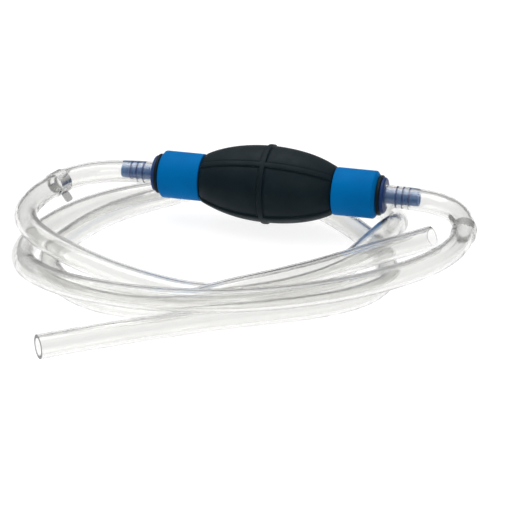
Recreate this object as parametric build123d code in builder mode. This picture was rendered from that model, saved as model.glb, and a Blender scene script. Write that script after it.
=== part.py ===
from build123d import *
import math
import os

# All sizes in mm. +X runs along the pump from inlet to outlet, +Z is up.
# The origin is the middle of the bulb, on the pump's axis.

# Rubber bulb, one moulding with a neck at each end
BULB_R = 24.3
BULB_ELLIPSE_HALF = 53.6
BULB_HALF = 43.0
BULB_WALL = 3.0
SHOULDER_IN = 40.5
RIB_H = 1.0
RIB_SINK = 1.0
RIB_W = 3.8
RING_RIB_W = 4.0
RIB_ANGLES = (40, 130, 220, 310)
NECK_R = 10.0
NECK_BORE_R = 7.5
NECK_START = 44.5
NECK_LIP_R = 12.6
NECK_END = 72.7

# Rigid collar pressed over each neck
COLLAR_R = 15.0
COLLAR_BORE_R = 10.05
COLLAR_START = 43.0
COLLAR_END = 70.4
COLLAR_CHAMFER_AX = 2.0
COLLAR_CHAMFER_RAD = 2.8
COLLAR_INNER_CHAMFER = 0.8

# Hose connector: valve housing barrel, flange and barbed spigot
BARREL_R = 7.45
BARREL_IN = 50.0
CHAMBER_R = 5.6
INLET_CHAMBER_END = 71.0
OUTLET_CHAMBER_END = 71.5
FLANGE_R = 11.4
FLANGE_END = 75.0
FLANGE_RIM = 0.8
SPIGOT_R = 4.8
SPIGOT_BORE_R = 3.2
SPIGOT_END = 96.5
SPIGOT_NOSE = 0.6
BARB_R = 5.5
BARB_L = 1.1
BARB_X = (81.6, 85.7, 89.8)

# Check valve, measured along +X from the outer face of its seat
SEAT_OD_R = 5.55
SEAT_BORE_R = 2.6
SEAT_L = 2.5
SEAT_CONE = 0.8
BALL_R = 4.0
BALL_GAP = 0.03
VALVE_LIFT = 2.5
SPRING_R = 2.9
SPRING_WIRE_R = 0.3
SPRING_COILS = 5
CAGE_IN = 17.0
CAGE_L = 2.0
CAGE_R = 5.55
CAGE_BOSS_R = 1.9
CAGE_BOSS_L = 1.5
CAGE_HOLE_R = 1.0
CAGE_HOLE_PCD_R = 3.85
CAGE_HOLES = 6
INLET_VALVE_X = -71.0
OUTLET_VALVE_X = 50.0

# Clear hose, the same on both sides
HOSE_R = 7.0
HOSE_BORE_R = 5.0
FILLET_SHARE = 0.45

# Spring band clip
CLIP_IN_R = 7.0
CLIP_T = 0.7
CLIP_W = 9.0
CLIP_SLOT_W = 4.2
CLIP_SLOT_FROM = 115
CLIP_SLOT_SWEEP = 85
EAR_FOOT_R = 7.1
EAR_TIP_R = 13.6
EAR_ROUND = 0.3
EAR_NARROW_W = 3.0
EAR_WIDE_W = 6.5
EAR_ANGLE = 48

# The hoses lie on a flat surface this far below the pump's axis
AXIS_H = 29.5

# Hose routes as points (x, y, height above the surface), from the pump to the free end
INLET_ROUTE = [
    (-FLANGE_END, 0, AXIS_H), (-101.5, 0, 29), (-126, -15.8, 28), (-135, -40.3, 26.5),
    (-136.5, -64.3, 26), (-131, -86.8, 26.5), (-116.5, -105.8, 25), (-93, -116.8, 20),
    (-67, -119.3, 12.5), (-43, -121.3, 8), (-14, -127.3, 7), (15, -122.3, 7), (42, -105.3, 7),
    (64, -81.3, 10), (78, -57.3, 20), (85, -33.3, 22.5), (85, -6.3, 15), (76, 18.7, 9),
    (55, 35.7, 11), (28, 42.7, 21.5), (-3, 40.7, 22.5), (-34, 33.7, 20.5), (-62, 21.2, 10),
    (-86, 2.7, 7), (-101, -24.3, 7), (-109, -54.3, 7), (-113, -82.3, 7), (-109, -107.3, 7),
    (-94, -130.3, 7), (-70, -148.3, 7), (-41, -154.3, 7), (-13, -150.3, 10), (14, -143.3, 19),
    (40, -126.3, 21.5), (63, -105.3, 23), (89, -80.3, 26), (115, -56.3, 28.5),
]
OUTLET_ROUTE = [
    (FLANGE_END, 0, AXIS_H), (97.5, 0, AXIS_H), (118.5, -8.3, 29), (130, -27.3, 27.5),
    (132.5, -51.3, 26.5), (127, -76.3, 25.5), (112.5, -98.8, 24), (88, -120.8, 21.5),
    (59, -143.3, 21.5), (24, -161.3, 21.5), (-14, -170.3, 21.5), (-48, -170.3, 21.5),
    (-79, -163.3, 21), (-105, -145.3, 19), (-121, -118.3, 14), (-130, -88.3, 9.5),
    (-131, -55.3, 7), (-122, -23.3, 7), (-105, 4.7, 7), (-82, 25.7, 7), (-56, 40.7, 7),
    (-27, 44.7, 7), (2, 38.7, 7), (27, 24.7, 7), (49, 4.7, 7), (69, -18.3, 7), (85, -44.3, 7),
    (93, -73.3, 7), (86, -101.3, 7), (65, -123.3, 7), (37, -140.3, 7), (8, -157.3, 7),
    (-20, -177.3, 7), (-47, -197.3, 7), (-73, -218.3, 7),
]
# The run, counted from 0, whose middle each clip sits on
INLET_CLIP_RUN = 2
OUTLET_CLIP_RUN = 3


def placed(route):
    """Route points in the part's frame, with heights taken from the pump's axis."""
    return [Vector(x, y, h - AXIS_H) for x, y, h in route]


def bend_radii(points):
    """One radius per corner, as large as the shorter of its two runs allows."""
    radii = []
    for before, corner, after in zip(points, points[1:], points[2:]):
        turn = math.radians((corner - before).get_angle(after - corner))
        run = min((corner - before).length, (after - corner).length)
        radii.append(FILLET_SHARE * run / math.tan(turn / 2))
    return radii


def bulb_outline_r(x, extra):
    """Radius at x of the bulb's outline, an ellipse, grown by extra."""
    return (BULB_R + extra) * math.sqrt(1 - (x / (BULB_ELLIPSE_HALF + extra)) ** 2)


def across(x):
    """Plane square to the pump's axis at x, facing +X."""
    return Plane(origin=(x, 0, 0), x_dir=(0, 1, 0), z_dir=(1, 0, 0))


def radial_plane(degrees):
    """Plane through the pump's axis with local y pointing outwards at this angle."""
    c, s = math.cos(math.radians(degrees)), math.sin(math.radians(degrees))
    return Plane(origin=(0, 0, 0), x_dir=(1, 0, 0), z_dir=(0, -s, c))


def bulb_arc(half, extra):
    """The bulb's outline, grown by extra, from half back to -half."""
    length = BULB_ELLIPSE_HALF + extra
    start = math.degrees(math.acos(half / length))
    return EllipticalCenterArc((0, 0), length, BULB_R + extra, start, arc_size=180 - 2 * start)


os.makedirs("parts", exist_ok=True)

# ---------------------------------------------------------------- bulb
with BuildPart() as bulb:
    with BuildSketch(Plane.XZ):
        with BuildLine():
            outer = bulb_arc(BULB_HALF, 0)
            Polyline(
                outer @ 0, (BULB_HALF, NECK_R), (COLLAR_END + 0.05, NECK_R),
                (COLLAR_END + 0.05, NECK_LIP_R), (NECK_END, NECK_LIP_R),
                (NECK_END, NECK_BORE_R), (NECK_START, NECK_BORE_R),
                (SHOULDER_IN, bulb_outline_r(SHOULDER_IN, -BULB_WALL)),
            )
            bulb_arc(SHOULDER_IN, -BULB_WALL)
            Polyline(
                (-SHOULDER_IN, bulb_outline_r(SHOULDER_IN, -BULB_WALL)),
                (-NECK_START, NECK_BORE_R), (-NECK_END, NECK_BORE_R),
                (-NECK_END, NECK_LIP_R), (-COLLAR_END - 0.05, NECK_LIP_R),
                (-COLLAR_END - 0.05, NECK_R), (-BULB_HALF, NECK_R), outer @ 1,
            )
        make_face()
    revolve(axis=Axis.X)
    # the ring rib round the middle
    with BuildSketch(Plane.XZ):
        with Locations((0, BULB_R)):
            Rectangle(RING_RIB_W, 2 * RIB_H)
    revolve(axis=Axis.X)
    # four ribs along the bulb, crossing the ring rib
    for angle in RIB_ANGLES:
        with BuildSketch(radial_plane(angle)):
            with BuildLine():
                top = bulb_arc(BULB_HALF, RIB_H)
                foot = bulb_arc(BULB_HALF, -RIB_SINK)
                Line(top @ 0, foot @ 0)
                Line(top @ 1, foot @ 1)
            make_face()
        extrude(amount=RIB_W / 2, both=True)

# ---------------------------------------------------------------- collars
with BuildPart() as outlet_collar:
    with BuildSketch(Plane.XZ):
        with BuildLine():
            Polyline(
                (COLLAR_START, COLLAR_BORE_R),
                (COLLAR_START, COLLAR_R - COLLAR_INNER_CHAMFER),
                (COLLAR_START + COLLAR_INNER_CHAMFER, COLLAR_R),
                (COLLAR_END - COLLAR_CHAMFER_AX, COLLAR_R),
                (COLLAR_END, COLLAR_R - COLLAR_CHAMFER_RAD),
                (COLLAR_END, COLLAR_BORE_R),
                close=True,
            )
        make_face()
    revolve(axis=Axis.X)

with BuildPart() as inlet_collar:
    add(outlet_collar.part.mirror(Plane.YZ))


# ---------------------------------------------------------------- connectors
def connector(chamber_end):
    """Outlet-side connector whose valve chamber is bored in to chamber_end."""
    with BuildPart() as piece:
        with BuildSketch(Plane.XZ):
            with BuildLine():
                Polyline(
                    (BARREL_IN, CHAMBER_R), (BARREL_IN, BARREL_R),
                    (NECK_END + 0.05, BARREL_R), (NECK_END + 0.05, FLANGE_R),
                    (FLANGE_END - FLANGE_RIM, FLANGE_R),
                    (FLANGE_END, FLANGE_R - FLANGE_RIM), (FLANGE_END, SPIGOT_R),
                    (SPIGOT_END - SPIGOT_NOSE, SPIGOT_R),
                    (SPIGOT_END, SPIGOT_R - SPIGOT_NOSE),
                    (SPIGOT_END, SPIGOT_BORE_R), (chamber_end, SPIGOT_BORE_R),
                    (chamber_end, CHAMBER_R),
                    close=True,
                )
            make_face()
            for x in BARB_X:
                with BuildLine():
                    Polyline(
                        (x, SPIGOT_R - 0.3), (x, BARB_R), (x + 0.25, BARB_R),
                        (x + BARB_L, SPIGOT_R), (x + BARB_L, SPIGOT_R - 0.3),
                        close=True,
                    )
                make_face()
        revolve(axis=Axis.X)
    return piece.part


outlet_connector = connector(OUTLET_CHAMBER_END)
inlet_connector = connector(INLET_CHAMBER_END).mirror(Plane.YZ)

# ---------------------------------------------------------------- check valves
# The ball touches the seat's 45 degree cone half way up it
CONTACT = BALL_R * math.cos(math.radians(45))
CONE_OUT_R = SEAT_BORE_R + SEAT_CONE
BALL_X = SEAT_L - (CONE_OUT_R - CONTACT) + CONTACT + BALL_GAP
SPRING_START = BALL_X + math.sqrt(BALL_R**2 - (SPRING_R - SPRING_WIRE_R) ** 2)
SPRING_START += SPRING_WIRE_R
SPRING_L = CAGE_IN - SPRING_WIRE_R - SPRING_START


def valve_seat(x0):
    """Seat ring with a conical face towards the ball."""
    with BuildPart() as piece:
        with BuildSketch(Plane.XZ):
            with BuildLine():
                Polyline(
                    (x0, SEAT_BORE_R), (x0, SEAT_OD_R), (x0 + SEAT_L, SEAT_OD_R),
                    (x0 + SEAT_L, CONE_OUT_R), (x0 + SEAT_L - SEAT_CONE, SEAT_BORE_R),
                    close=True,
                )
            make_face()
        revolve(axis=Axis.X)
    return piece.part


def valve_ball(x0):
    """Ball resting on the seat's cone."""
    with BuildPart() as piece:
        with Locations((x0 + BALL_X, 0, 0)):
            Sphere(BALL_R)
    return piece.part


def valve_spring(x0):
    """Light coil spring from the ball to the cage."""
    start = (x0 + SPRING_START, 0, 0)
    with BuildPart() as piece:
        with BuildLine():
            coil = Helix(SPRING_L / SPRING_COILS, SPRING_L, SPRING_R, start, (1, 0, 0))
        with BuildSketch(Plane(origin=coil @ 0, z_dir=coil % 0)):
            Circle(SPRING_WIRE_R)
        sweep(is_frenet=True)
    return piece.part


def valve_cage(x0):
    """Perforated disc that backs the spring, with a boss inside the coil."""
    with BuildPart() as piece:
        with BuildSketch(across(x0 + CAGE_IN)):
            Circle(CAGE_R)
            with PolarLocations(CAGE_HOLE_PCD_R, CAGE_HOLES):
                Circle(CAGE_HOLE_R, mode=Mode.SUBTRACT)
        extrude(amount=CAGE_L)
        with BuildSketch(across(x0 + CAGE_IN)):
            Circle(CAGE_BOSS_R)
        extrude(amount=-CAGE_BOSS_L)
    return piece.part


# ---------------------------------------------------------------- hoses
def hose(points):
    """Hose tube along straight runs and tangent arcs, and its straight free end."""
    radii = bend_radii(points)
    with BuildLine():
        *laid, straight = FilletPolyline(*points, radius=radii).order_edges()
    with BuildPart() as tube:
        with BuildSketch(Plane(origin=points[0], z_dir=points[1] - points[0])):
            Circle(HOSE_R)
            Circle(HOSE_BORE_R, mode=Mode.SUBTRACT)
        sweep(path=Wire(laid))
    with BuildPart() as end_piece:
        with BuildSketch(Plane(origin=straight @ 0, z_dir=points[-1] - points[-2])):
            Circle(HOSE_R)
            Circle(HOSE_BORE_R, mode=Mode.SUBTRACT)
        extrude(amount=straight.length)
    section = math.pi * (HOSE_R**2 - HOSE_BORE_R**2)
    laid_length = Wire(laid).length
    print("radii", [round(r) for r in radii])
    print("length", round(laid_length + straight.length), "volume", round(tube.part.volume),
          "section x length", round(section * laid_length))
    return tube.part, end_piece.part


# ---------------------------------------------------------------- clips
def hose_clip(points, run, inward):
    """Spring band round the middle of a run, its ears standing out on the inward side."""
    start, end = points[run], points[run + 1]
    along = (end - start).normalized()
    side = Vector(inward, 0, 0)
    side = (side - along * side.dot(along)).normalized()
    square = Plane(origin=(start + end) / 2, x_dir=side, z_dir=along)

    def flat(degrees):
        """Plane along the hose, with local x pointing outwards at this angle."""
        turn = math.radians(degrees)
        outward = square.x_dir * math.cos(turn) + square.y_dir * math.sin(turn)
        return Plane(origin=square.origin, x_dir=outward, z_dir=outward.cross(along))

    with BuildPart() as piece:
        with BuildSketch(square):
            Circle(CLIP_IN_R + CLIP_T)
            Circle(CLIP_IN_R, mode=Mode.SUBTRACT)
        extrude(amount=CLIP_W / 2, both=True)
        # the window that the narrow ear is threaded through
        with BuildSketch(flat(CLIP_SLOT_FROM)):
            with Locations((CLIP_IN_R, 0)):
                Rectangle(4 * CLIP_T, CLIP_SLOT_W)
        revolve(axis=Axis(square.origin, square.z_dir), revolution_arc=CLIP_SLOT_SWEEP,
                mode=Mode.SUBTRACT)
        for degrees, width in ((EAR_ANGLE, EAR_NARROW_W), (-EAR_ANGLE, EAR_WIDE_W)):
            with BuildSketch(flat(degrees)):
                with Locations(((EAR_FOOT_R + EAR_TIP_R) / 2, 0)):
                    RectangleRounded(EAR_TIP_R - EAR_FOOT_R, width, width * EAR_ROUND)
            extrude(amount=CLIP_T / 2, both=True)
    return piece.part


inlet_points = placed(INLET_ROUTE)
outlet_points = placed(OUTLET_ROUTE)
inlet_hose, inlet_hose_end = hose(inlet_points)
outlet_hose, outlet_hose_end = hose(outlet_points)

pieces = {
    "bulb": bulb.part,
    "inlet_collar": inlet_collar.part,
    "outlet_collar": outlet_collar.part,
    "inlet_connector": inlet_connector,
    "outlet_connector": outlet_connector,
    "inlet_valve_seat": valve_seat(INLET_VALVE_X),
    "outlet_valve_seat": valve_seat(OUTLET_VALVE_X),
    "inlet_valve_ball": valve_ball(INLET_VALVE_X),
    "outlet_valve_ball": valve_ball(OUTLET_VALVE_X),
    "inlet_valve_spring": valve_spring(INLET_VALVE_X),
    "outlet_valve_spring": valve_spring(OUTLET_VALVE_X),
    "inlet_valve_cage": valve_cage(INLET_VALVE_X),
    "outlet_valve_cage": valve_cage(OUTLET_VALVE_X),
    "inlet_hose": inlet_hose,
    "inlet_hose_end": inlet_hose_end,
    "outlet_hose": outlet_hose,
    "outlet_hose_end": outlet_hose_end,
    "inlet_hose_clip": hose_clip(inlet_points, INLET_CLIP_RUN, 1),
    "outlet_hose_clip": hose_clip(outlet_points, OUTLET_CLIP_RUN, -1),
}
for name, piece in pieces.items():
    piece.label = name
    export_step(piece, f"parts/{name}.step")
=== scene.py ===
import math

import bmesh
import bpy
from mathutils import Matrix, Vector


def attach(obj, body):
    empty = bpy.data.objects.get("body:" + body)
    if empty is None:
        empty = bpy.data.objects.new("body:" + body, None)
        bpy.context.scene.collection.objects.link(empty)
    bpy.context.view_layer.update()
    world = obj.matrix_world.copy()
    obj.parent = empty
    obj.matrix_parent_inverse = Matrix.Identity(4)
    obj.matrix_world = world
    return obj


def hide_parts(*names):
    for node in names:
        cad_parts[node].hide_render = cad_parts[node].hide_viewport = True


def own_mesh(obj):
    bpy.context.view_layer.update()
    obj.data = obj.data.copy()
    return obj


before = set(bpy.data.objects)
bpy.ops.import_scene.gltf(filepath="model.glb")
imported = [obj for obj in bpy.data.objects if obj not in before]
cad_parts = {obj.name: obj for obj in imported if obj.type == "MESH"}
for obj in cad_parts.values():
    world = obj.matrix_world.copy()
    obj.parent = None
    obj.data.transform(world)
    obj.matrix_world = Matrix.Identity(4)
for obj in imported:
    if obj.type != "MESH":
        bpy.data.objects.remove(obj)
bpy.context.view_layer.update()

# Sizes in metres, in the CAD frame: +X along the pump, origin in the middle of the bulb.
AXIS_H = 0.0295            # the pump's axis above the floor
HOSE_R = 0.007
HOSE_BORE_R = 0.005

# Hose routes as points (x, y, height above the floor), as in the CAD model
INLET_ROUTE = [
    (-0.075, 0, AXIS_H), (-0.1015, 0, 0.029), (-0.126, -0.0158, 0.028),
    (-0.135, -0.0403, 0.0265), (-0.1365, -0.0643, 0.026), (-0.131, -0.0868, 0.0265),
    (-0.1165, -0.1058, 0.025), (-0.093, -0.1168, 0.02), (-0.067, -0.1193, 0.0125),
    (-0.043, -0.1213, 0.008), (-0.014, -0.1273, 0.007), (0.015, -0.1223, 0.007),
    (0.042, -0.1053, 0.007), (0.064, -0.0813, 0.01), (0.078, -0.0573, 0.02),
    (0.085, -0.0333, 0.0225), (0.085, -0.0063, 0.015), (0.076, 0.0187, 0.009),
    (0.055, 0.0357, 0.011), (0.028, 0.0427, 0.0215), (-0.003, 0.0407, 0.0225),
    (-0.034, 0.0337, 0.0205), (-0.062, 0.0212, 0.01), (-0.086, 0.0027, 0.007),
    (-0.101, -0.0243, 0.007), (-0.109, -0.0543, 0.007), (-0.113, -0.0823, 0.007),
    (-0.109, -0.1073, 0.007), (-0.094, -0.1303, 0.007), (-0.07, -0.1483, 0.007),
    (-0.041, -0.1543, 0.007), (-0.013, -0.1503, 0.01), (0.014, -0.1433, 0.019),
    (0.04, -0.1263, 0.0215), (0.063, -0.1053, 0.023), (0.089, -0.0803, 0.026),
    (0.115, -0.0563, 0.0285),
]
OUTLET_ROUTE = [
    (0.075, 0, AXIS_H), (0.0975, 0, AXIS_H), (0.1185, -0.0083, 0.029), (0.13, -0.0273, 0.0275),
    (0.1325, -0.0513, 0.0265), (0.127, -0.0763, 0.0255), (0.1125, -0.0988, 0.024),
    (0.088, -0.1208, 0.0215), (0.059, -0.1433, 0.0215), (0.024, -0.1613, 0.0215),
    (-0.014, -0.1703, 0.0215), (-0.048, -0.1703, 0.0215), (-0.079, -0.1633, 0.021),
    (-0.105, -0.1453, 0.019), (-0.121, -0.1183, 0.014), (-0.13, -0.0883, 0.0095),
    (-0.131, -0.0553, 0.007), (-0.122, -0.0233, 0.007), (-0.105, 0.0047, 0.007),
    (-0.082, 0.0257, 0.007), (-0.056, 0.0407, 0.007), (-0.027, 0.0447, 0.007),
    (0.002, 0.0387, 0.007), (0.027, 0.0247, 0.007), (0.049, 0.0047, 0.007),
    (0.069, -0.0183, 0.007), (0.085, -0.0443, 0.007), (0.093, -0.0733, 0.007),
    (0.086, -0.1013, 0.007), (0.065, -0.1233, 0.007), (0.037, -0.1403, 0.007),
    (0.008, -0.1573, 0.007), (-0.02, -0.1773, 0.007), (-0.047, -0.1973, 0.007),
    (-0.073, -0.2183, 0.007),
]


def placed(route):
    """Route points in the CAD frame, with heights taken from the pump's axis."""
    return [Vector((x, y, h - AXIS_H)) for x, y, h in route]


# ------------------------------------------------------------------ small helpers
def link(obj):
    bpy.context.scene.collection.objects.link(obj)
    return obj


def mesh_object(name, bm, crease=40):
    """A new object from a bmesh, which is freed, sharp where faces turn by the crease."""
    bmesh.ops.recalc_face_normals(bm, faces=bm.faces)
    mesh = bpy.data.meshes.new(name)
    bm.to_mesh(mesh)
    bm.free()
    for face in mesh.polygons:
        face.use_smooth = True
    mesh.set_sharp_from_angle(angle=math.radians(crease))
    return link(bpy.data.objects.new(name, mesh))


def closed_grid(name, rings, crease=40):
    """Rings of points joined in turn, the last back to the first."""
    bm = bmesh.new()
    rings = [[bm.verts.new(point) for point in ring] for ring in rings]
    for ring, following in zip(rings, rings[1:] + rings[:1]):
        for k in range(len(ring)):
            m = (k + 1) % len(ring)
            bm.faces.new((ring[k], ring[m], following[m], following[k]))
    return mesh_object(name, bm, crease)


def on_axis(x, r, angle):
    """The point at this distance and angle from the pump's axis."""
    return Vector((x, r * math.cos(angle), r * math.sin(angle)))


# ------------------------------------------------------------------ camera
AZIMUTH, ELEVATION = math.radians(15.5), math.radians(23)
DISTANCE = 1.4
AIM_RIGHT, AIM_UP = -0.0083, -0.01796
LENS_MM, SENSOR_MM = 155.42, 36


def add_camera():
    right = Vector((math.cos(AZIMUTH), math.sin(AZIMUTH), 0))
    ahead = Vector((-math.sin(AZIMUTH) * math.cos(ELEVATION),
                    math.cos(AZIMUTH) * math.cos(ELEVATION), -math.sin(ELEVATION)))
    up = right.cross(ahead)
    place = right * AIM_RIGHT + up * AIM_UP - ahead * DISTANCE
    place.z -= AXIS_H
    camera = link(bpy.data.objects.new("camera", bpy.data.cameras.new("camera")))
    turn = Matrix((right, up, -ahead)).transposed().to_4x4()
    camera.matrix_world = Matrix.Translation(place) @ turn
    camera.data.lens = LENS_MM
    camera.data.sensor_width = SENSOR_MM
    camera.data.clip_end = 50
    bpy.context.scene.camera = camera


add_camera()

# ------------------------------------------------------------------ hoses
AROUND = 40


def route_curve(name, points):
    """NURBS curve of order 3 through the route's control points."""
    curve = bpy.data.curves.new(name, "CURVE")
    curve.dimensions = "3D"
    curve.resolution_u = 12
    spline = curve.splines.new("NURBS")
    spline.points.add(len(points) - 1)
    for point, place in zip(spline.points, points):
        point.co = (*place, 1)
    spline.order_u = 3
    spline.use_endpoint_u = True
    return curve


def line_of(name, points):
    """Points along the smooth line, read from the curve itself."""
    obj = link(bpy.data.objects.new(name + "_line", route_curve(name + "_line", points)))
    bpy.context.view_layer.update()
    mesh = bpy.data.meshes.new_from_object(obj)
    line = [v.co.copy() for v in mesh.vertices]
    bpy.data.objects.remove(obj)
    bpy.data.meshes.remove(mesh)
    return line


def carried_frames(line):
    """(point, side, up) along the line, carried without twist."""
    ahead = (line[1] - line[0]).normalized()
    side = ahead.orthogonal().normalized()
    out = []
    for i, point in enumerate(line):
        before, after = line[max(i - 1, 0)], line[min(i + 1, len(line) - 1)]
        ahead = (after - before).normalized()
        side = (side - ahead * side.dot(ahead)).normalized()
        out.append((point, side, ahead.cross(side)))
    return out


def hose_mesh(name, line):
    """Hollow tube with an outer wall, a bore and a flat cut at each end."""
    frames = carried_frames(line)
    turns = [2 * math.pi * k / AROUND for k in range(AROUND)]

    def ring(frame_at, radius):
        point, side, up = frame_at
        return [point + (side * math.cos(a) + up * math.sin(a)) * radius for a in turns]

    outer = [ring(frame_at, HOSE_R) for frame_at in frames]
    bore = [ring(frame_at, HOSE_BORE_R) for frame_at in reversed(frames)]
    return closed_grid(name, outer + bore)


def add_hose(side, route):
    points = placed(route)
    line = line_of(side + "_hose", points)
    hose = hose_mesh(side + "_clear_hose", line)
    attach(hose, "pump")
    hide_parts(side + "_hose", side + "_hose_end")
    return hose


inlet_hose = add_hose("inlet", INLET_ROUTE)
outlet_hose = add_hose("outlet", OUTLET_ROUTE)


# ------------------------------------------------------------------ bulb
BULB_R, BULB_LONG_R, BULB_HALF = 0.0243, 0.0536, 0.043
BULB_WALL, SHOULDER_IN = 0.003, 0.0405
NECK_R, NECK_BORE_R, NECK_START, NECK_END = 0.010, 0.0075, 0.0445, 0.0727
LIP_R, LIP_START = 0.0126, 0.07045
RIB_ANGLES = [math.radians(a) for a in (40, 130, 220, 310)]
RIB_H, RIB_TOP_HALF, RIB_FOOT_HALF = 0.001, 0.0014, 0.0019
GROOVE_DEPTH, GROOVE_OUT = 0.0003, 0.0031
RIB_STEPS = [0, 0.0007, 0.0012, RIB_TOP_HALF, 0.0016, 0.00175, RIB_FOOT_HALF, 0.0021, 0.0024,
             0.0027, GROOVE_OUT]
RIB_CROWN = 0.12           # how far a rib's top falls towards its edges, as a share of its height
GAP_STEPS = 13             # columns between two ribs
ROW_STEPS, ROWS_END = 16, 0.041
INSIDE_STEPS = 16


def rib_height(offset):
    """Height of a rib's section at this distance from its middle, with a groove at its foot."""
    offset = abs(offset)
    if offset <= RIB_TOP_HALF:
        return RIB_H * (1 - RIB_CROWN * (offset / RIB_TOP_HALF) ** 2)
    if offset <= RIB_FOOT_HALF:
        down = (offset - RIB_TOP_HALF) / (RIB_FOOT_HALF - RIB_TOP_HALF)
        return RIB_H * (1 - RIB_CROWN) * (1 - down) - GROOVE_DEPTH * down
    if offset < GROOVE_OUT:
        out = (offset - RIB_FOOT_HALF) / (GROOVE_OUT - RIB_FOOT_HALF)
        return -GROOVE_DEPTH * (1 + math.cos(math.pi * out)) / 2
    return 0


def raised(along, aside):
    """Both ribs' heights together: the higher where one stands up, else the deeper groove."""
    return max(along, aside) if max(along, aside) > 0 else min(along, aside)


def bulb_columns(r):
    """(angle, distance from the nearest rib's middle) round the bulb, close by the ribs."""
    columns = []
    for rib, following in zip(RIB_ANGLES, RIB_ANGLES[1:] + [RIB_ANGLES[0] + 2 * math.pi]):
        start, end = rib + GROOVE_OUT / r, following - GROOVE_OUT / r
        columns += [(rib + step / r, step) for step in RIB_STEPS]
        columns += [(start + (end - start) * k / GAP_STEPS, GROOVE_OUT)
                    for k in range(1, GAP_STEPS)]
        columns += [(following - step / r, step) for step in RIB_STEPS[:0:-1]]
    return columns


def bulb_ring(x, r, ribs=0.0):
    """Points round the bulb at x; ribs says how much of the ribs' height is added."""
    return [on_axis(x, r + ribs * raised(rib_height(step), rib_height(x)), angle)
            for angle, step in bulb_columns(r)]


def ellipse_r(x, extra):
    """The bulb's radius at x, on an ellipse this much outside its own surface."""
    return (BULB_R + extra) * math.sqrt(1 - (x / (BULB_LONG_R + extra)) ** 2)


def neck_outline():
    """(x, r, ribs) from the bulb's rounded end, over the neck and its lip, into the bore."""
    end_r = ellipse_r(BULB_HALF, 0)
    bulb_end = [(0.0419, end_r + 0.0001, 0.8), (0.0426, end_r - 0.0005, 0.6),
                (0.0429, end_r - 0.0012, 0.3), (BULB_HALF, end_r - 0.0022, 0)]
    neck = [(BULB_HALF, NECK_R + 0.0003), (BULB_HALF + 0.0003, NECK_R), (LIP_START, NECK_R),
            (LIP_START, LIP_R - 0.0006), (LIP_START + 0.0002, LIP_R - 0.0002),
            (LIP_START + 0.0006, LIP_R), (NECK_END - 0.0006, LIP_R),
            (NECK_END - 0.0002, LIP_R - 0.0002), (NECK_END, LIP_R - 0.0006),
            (NECK_END, NECK_BORE_R), (NECK_START, NECK_BORE_R)]
    return bulb_end + [(x, r, 0) for x, r in neck]


def add_bulb():
    """The ribbed rubber bulb with both necks, hollow, with its rings joined end to end."""
    half = RIB_STEPS + [GROOVE_OUT + (ROWS_END - GROOVE_OUT) * k / ROW_STEPS
                        for k in range(1, ROW_STEPS + 1)]
    rows = [-x for x in reversed(half)] + half[1:]
    neck = neck_outline()
    inside = [SHOULDER_IN * (1 - 2 * k / INSIDE_STEPS) for k in range(INSIDE_STEPS + 1)]
    rings = [bulb_ring(x, ellipse_r(x, 0), 1) for x in rows]
    rings += [bulb_ring(*place) for place in neck]
    rings += [bulb_ring(x, ellipse_r(x, -BULB_WALL)) for x in inside]
    rings += [bulb_ring(-x, r, ribs) for x, r, ribs in reversed(neck)]
    bulb = closed_grid("ribbed_bulb", rings, crease=75)
    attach(bulb, "pump")
    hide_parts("bulb")
    return bulb


bulb = add_bulb()


# ------------------------------------------------------------------ collars, connectors
ROUND_STEPS = 96
COLLAR_START, COLLAR_END, COLLAR_R, COLLAR_BORE_R = 0.043, 0.0704, 0.015, 0.01005
CHAMFER_LONG, CHAMFER_DEEP = 0.002, 0.0028
COLLAR_ROUND, CONNECTOR_ROUND = 0.0007, 0.0004
BARREL_START, BARREL_R, CHAMBER_R = 0.050, 0.00745, 0.0056
CHAMBER_ENDS = {"inlet": 0.071, "outlet": 0.0715}
FLANGE_START, FLANGE_END, FLANGE_R, FLANGE_RIM = 0.07275, 0.075, 0.0114, 0.0008
SPIGOT_R, SPIGOT_BORE_R, SPIGOT_END = 0.0048, 0.0032, 0.0965
BARB_STARTS, BARB_R, BARB_FLAT, BARB_LONG = (0.0816, 0.0857, 0.0898), 0.0055, 0.00025, 0.0011
SIDES = (("inlet", -1), ("outlet", 1))


def rounded(outline, radius):
    """The closed outline with each corner cut into a short round."""
    out = []
    for before, corner, after in zip(outline[-1:] + outline[:-1], outline,
                                     outline[1:] + outline[:1]):
        before, corner, after = Vector(before), Vector(corner), Vector(after)
        back, ahead = before - corner, after - corner
        reach = min(radius, 0.4 * back.length, 0.4 * ahead.length)
        start = corner + back.normalized() * reach
        end = corner + ahead.normalized() * reach
        out += [start.lerp(corner, t).lerp(corner.lerp(end, t), t) for t in (0, 0.33, 0.67, 1)]
    return out


def turned(name, outline, radius, side):
    """A piece turned about the pump's axis from (x, r) points, mirrored for the inlet."""
    angles = [2 * math.pi * k / ROUND_STEPS for k in range(ROUND_STEPS)]
    return closed_grid(name, [[on_axis(side * p[0], p[1], a) for a in angles]
                              for p in rounded(outline, radius)])


def mark_painted_shade(connector):
    """The flange and the barbs take the second material, which is darker than the spigot: painted
    shade, a darker and less clear copy of the same navy plastic.
    """
    for face in connector.data.polygons:
        r = math.hypot(face.center.y, face.center.z)
        if abs(face.center.x) > NECK_END and r > SPIGOT_R * 1.01:
            face.material_index = 1


def collar_outline():
    """A plain sleeve with a chamfer at its outer end."""
    return [(COLLAR_START, COLLAR_BORE_R), (COLLAR_START, COLLAR_R),
            (COLLAR_END - CHAMFER_LONG, COLLAR_R), (COLLAR_END, COLLAR_R - CHAMFER_DEEP),
            (COLLAR_END, COLLAR_BORE_R)]


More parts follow.
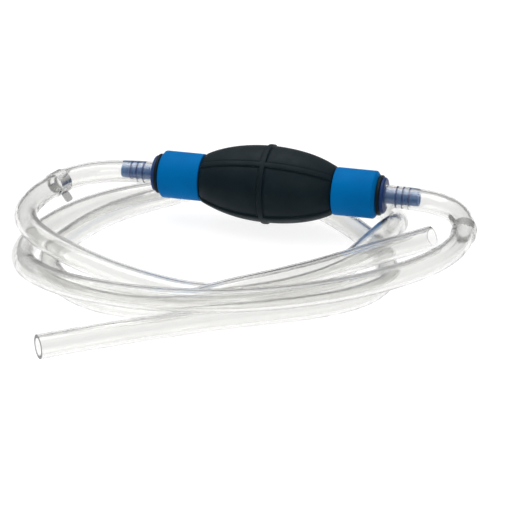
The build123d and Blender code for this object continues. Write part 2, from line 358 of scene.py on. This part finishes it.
def connector_outline(chamber_end):
    """Barrel, flange and spigot with three barbs, and the bore back to the valve's chamber."""
    outline = [(BARREL_START, CHAMBER_R), (BARREL_START, BARREL_R), (FLANGE_START, BARREL_R),
               (FLANGE_START, FLANGE_R), (FLANGE_END - FLANGE_RIM, FLANGE_R),
               (FLANGE_END, FLANGE_R - FLANGE_RIM), (FLANGE_END, HOSE_R),
               (FLANGE_END, SPIGOT_R)]
    for x in BARB_STARTS:
        outline += [(x, SPIGOT_R), (x, BARB_R), (x + BARB_FLAT, BARB_R),
                    (x + BARB_LONG, SPIGOT_R)]
    return outline + [(SPIGOT_END, SPIGOT_R), (SPIGOT_END, SPIGOT_BORE_R),
                      (chamber_end, SPIGOT_BORE_R), (chamber_end, CHAMBER_R)]


def add_turned(name, side, part, outline, radius):
    """A collar or connector in place of its CAD node."""
    piece = turned(f"{name}_{part}_turned", outline, radius, side)
    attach(piece, "pump")
    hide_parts(f"{name}_{part}")
    return piece


collars = [add_turned(name, side, "collar", collar_outline(), COLLAR_ROUND)
           for name, side in SIDES]
connectors = [add_turned(name, side, "connector", connector_outline(CHAMBER_ENDS[name]),
                         CONNECTOR_ROUND)
              for name, side in SIDES]


def add_spring(side):
    """The valve's coil, a copy of its CAD mesh."""
    node = side + "_valve_spring"
    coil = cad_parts[node].data.copy()
    spring = link(bpy.data.objects.new(side + "_spring_coil", coil))
    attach(spring, "pump")
    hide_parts(node)
    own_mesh(spring)
    return spring


springs = [add_spring(side) for side in ("inlet", "outlet")]


# ------------------------------------------------------------------ materials
def new_material(name, colour, roughness, **sockets):
    """A material whose Principled shader has these plain values."""
    material = bpy.data.materials.new(name)
    material.use_nodes = True
    shader = material.node_tree.nodes["Principled BSDF"]
    shader.inputs["Base Color"].default_value = (*colour, 1)
    shader.inputs["Roughness"].default_value = roughness
    for socket, value in sockets.items():
        shader.inputs[socket.replace("_", " ")].default_value = value
    return material


def noise(material, scale, detail=3.0, stretch=(1, 1, 1)):
    """Noise in the object's own coordinates, scale in cycles per metre."""
    tree = material.node_tree
    place = tree.nodes.new("ShaderNodeTexCoord")
    mapping = tree.nodes.new("ShaderNodeMapping")
    mapping.inputs["Scale"].default_value = stretch
    texture = tree.nodes.new("ShaderNodeTexNoise")
    texture.inputs["Scale"].default_value = scale
    texture.inputs["Detail"].default_value = detail
    tree.links.new(place.outputs["Object"], mapping.inputs["Vector"])
    tree.links.new(mapping.outputs["Vector"], texture.inputs["Vector"])
    return texture.outputs["Fac"]


def drive(material, source, socket, low, high, dark=0.35, light=0.65):
    """The noise, from dark to light, drives a shader's number or colour from low to high."""
    tree = material.node_tree
    shader = tree.nodes["Principled BSDF"]
    if isinstance(low, tuple):
        ramp = tree.nodes.new("ShaderNodeValToRGB")
        ramp.color_ramp.elements[0].position = dark
        ramp.color_ramp.elements[1].position = light
        ramp.color_ramp.elements[0].color = (*low, 1)
        ramp.color_ramp.elements[1].color = (*high, 1)
        tree.links.new(source, ramp.inputs["Fac"])
        tree.links.new(ramp.outputs["Color"], shader.inputs[socket])
    else:
        spread = tree.nodes.new("ShaderNodeMapRange")
        for name, value in (("From Min", dark), ("From Max", light),
                            ("To Min", low), ("To Max", high)):
            spread.inputs[name].default_value = value
        tree.links.new(source, spread.inputs["Value"])
        tree.links.new(spread.outputs["Result"], shader.inputs[socket])


def bump(material, source, height, strength=0.5):
    """Fine relief, height in metres."""
    tree = material.node_tree
    relief = tree.nodes.new("ShaderNodeBump")
    relief.inputs["Strength"].default_value = strength
    relief.inputs["Distance"].default_value = height
    tree.links.new(source, relief.inputs["Height"])
    tree.links.new(relief.outputs["Normal"],
                   tree.nodes["Principled BSDF"].inputs["Normal"])


def lets_lamps_through(material, tint):
    """Light passes the material without bending, so what lies under it isn't in shadow."""
    tree = material.node_tree
    clear = tree.nodes.new("ShaderNodeBsdfTransparent")
    clear.inputs["Color"].default_value = (*tint, 1)
    mix = tree.nodes.new("ShaderNodeMixShader")
    path = tree.nodes.new("ShaderNodeLightPath")
    tree.links.new(path.outputs["Is Shadow Ray"], mix.inputs["Fac"])
    tree.links.new(tree.nodes["Principled BSDF"].outputs["BSDF"], mix.inputs[1])
    tree.links.new(clear.outputs["BSDF"], mix.inputs[2])
    tree.links.new(mix.outputs["Shader"], tree.nodes["Material Output"].inputs["Surface"])


def clear_vinyl():
    """Clear flexible vinyl, a little milky, with faint drawing marks along it."""
    material = new_material("clear_vinyl", (0.89, 0.89, 0.88), 0.06, IOR=1.5,
                            Transmission_Weight=1.0)
    drive(material, noise(material, 160), "Roughness", 0.05, 0.12)
    bump(material, noise(material, 90, detail=1), 0.0006, 0.25)
    lets_lamps_through(material, (0.97, 0.97, 0.965))
    return material


def bulb_rubber():
    """Dark moulded rubber with a fine grain and a faint bloom."""
    material = new_material("bulb_rubber", (0.004, 0.010, 0.014), 0.48, Specular_IOR_Level=0.09)
    drive(material, noise(material, 45), "Base Color", (0.003, 0.009, 0.013),
          (0.005, 0.012, 0.016))
    drive(material, noise(material, 130), "Roughness", 0.42, 0.54)
    bump(material, noise(material, 2600, detail=2), 0.00006, 0.5)
    return material


def collar_plastic():
    """Satin blue moulded plastic."""
    material = new_material("collar_plastic", (0.0, 0.128, 0.37), 0.42, Specular_IOR_Level=0.02)
    drive(material, noise(material, 60), "Base Color", (0.0, 0.120, 0.352), (0.0, 0.136, 0.388))
    drive(material, noise(material, 220), "Roughness", 0.38, 0.48)
    bump(material, noise(material, 1800, detail=2), 0.00005, 0.4)
    return material


def connector_plastic(name, colour, clearness, roughness, specular):
    """Translucent navy plastic."""
    material = new_material(name, colour, roughness, IOR=1.49, Transmission_Weight=clearness,
                            Specular_IOR_Level=specular)
    drive(material, noise(material, 300), "Roughness", roughness * 0.75, roughness * 1.3)
    lets_lamps_through(material, (0.6, 0.7, 0.9))
    return material


def steel(name, roughness, stretch, colour=(0.56, 0.56, 0.55)):
    """Plated or ground steel with fine marks."""
    material = new_material(name, colour, roughness, Metallic=1.0)
    marks = noise(material, 900, stretch=stretch)
    drive(material, marks, "Roughness", roughness * 0.75, roughness * 1.35)
    bump(material, marks, 0.00003, 0.3)
    return material


def plain_moulding(name, colour, roughness):
    """Plain moulded plastic or rubber with a fine grain."""
    material = new_material(name, colour, roughness)
    drive(material, noise(material, 400), "Roughness", roughness * 0.85, roughness * 1.15)
    bump(material, noise(material, 2500, detail=2), 0.00004, 0.4)
    return material


def paint(obj, material):
    """The material on every face of a piece or a CAD node."""
    if not obj.material_slots:
        obj.data.materials.append(material)
    for slot in obj.material_slots:
        slot.link = "OBJECT"
        slot.material = material


vinyl = clear_vinyl()
for hose in (inlet_hose, outlet_hose):
    paint(hose, vinyl)
node_looks = {
    "bulb": bulb_rubber(),
    "collar": collar_plastic(),
    "connector": connector_plastic("connector_plastic", (0.05, 0.16, 0.34), 0.6, 0.16, 0.25),
    "seat": plain_moulding("seat_rubber", (0.03, 0.03, 0.03), 0.6),
    "ball": steel("ball_steel", 0.12, (1, 1, 1)),
    "spring": steel("spring_steel", 0.25, (1, 1, 1)),
    "cage": plain_moulding("cage_plastic", (0.6, 0.6, 0.58), 0.45),
    "clip": steel("clip_steel", 0.28, (1, 1, 0.2), (0.66, 0.66, 0.65)),
}
paint(bulb, node_looks["bulb"])
for spring in springs:
    paint(spring, node_looks["spring"])
# Painted shade: the connector's navy plastic again, darker and less clear, for the flange and the
# barbs
painted_shade_plastic = connector_plastic("connector_plastic_painted_shade", (0.012, 0.04, 0.15), 0.2, 0.35,
                                  0.1)
for collar, connector in zip(collars, connectors):
    paint(collar, node_looks["collar"])
    paint(connector, node_looks["connector"])
    connector.data.materials.append(painted_shade_plastic)
    mark_painted_shade(connector)
for name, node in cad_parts.items():
    for word, material in node_looks.items():
        if name.endswith(word):
            paint(node, material)

# ------------------------------------------------------------------ floor, light
FLOOR_HALF = 8
SKY, HORIZON = 0.8, 0.22


def add_floor():
    bm = bmesh.new()
    corners = [(-1, -1), (1, -1), (1, 1), (-1, 1)]
    bm.faces.new([bm.verts.new((x * FLOOR_HALF, y * FLOOR_HALF, -AXIS_H)) for x, y in corners])
    floor = mesh_object("floor", bm)
    paint(floor, new_material("floor_light_table", (0.2, 0.2, 0.2), 0.9,
                              Emission_Color=(1, 1, 1, 1), Emission_Strength=0.85))


def area_light(name, place, aim, size, power):
    data = bpy.data.lights.new(name, "AREA")
    data.energy = power
    data.shape = "RECTANGLE"
    data.size, data.size_y = size
    light = link(bpy.data.objects.new(name, data))
    light.location = place
    direction = Vector(aim) - Vector(place)
    light.rotation_euler = direction.to_track_quat("-Z", "Y").to_euler()


def add_world():
    """A white sky that darkens towards the horizon, so that clear edges show."""
    world = bpy.data.worlds.new("studio")
    bpy.context.scene.world = world
    world.use_nodes = True
    tree = world.node_tree
    place = tree.nodes.new("ShaderNodeTexCoord")
    split = tree.nodes.new("ShaderNodeSeparateXYZ")
    ramp = tree.nodes.new("ShaderNodeValToRGB")
    ramp.color_ramp.elements[0].position = 0.05
    ramp.color_ramp.elements[0].color = (HORIZON, HORIZON, HORIZON, 1)
    ramp.color_ramp.elements[1].position = 0.75
    ramp.color_ramp.elements[1].color = (1, 1, 1, 1)
    tree.links.new(place.outputs["Generated"], split.inputs["Vector"])
    tree.links.new(split.outputs["Z"], ramp.inputs["Fac"])
    tree.links.new(ramp.outputs["Color"], tree.nodes["Background"].inputs["Color"])
    tree.nodes["Background"].inputs["Strength"].default_value = SKY


add_floor()
add_world()
area_light("top_softbox", (-0.35, 0.15, 1.4), (0, -0.05, 0), (1.6, 1.2), 15)
area_light("front_softbox", (0.4, -1.5, 1.0), (0, -0.05, 0), (0.9, 0.5), 4)
bpy.context.scene.view_settings.view_transform = "Standard"

bpy.context.view_layer.update()
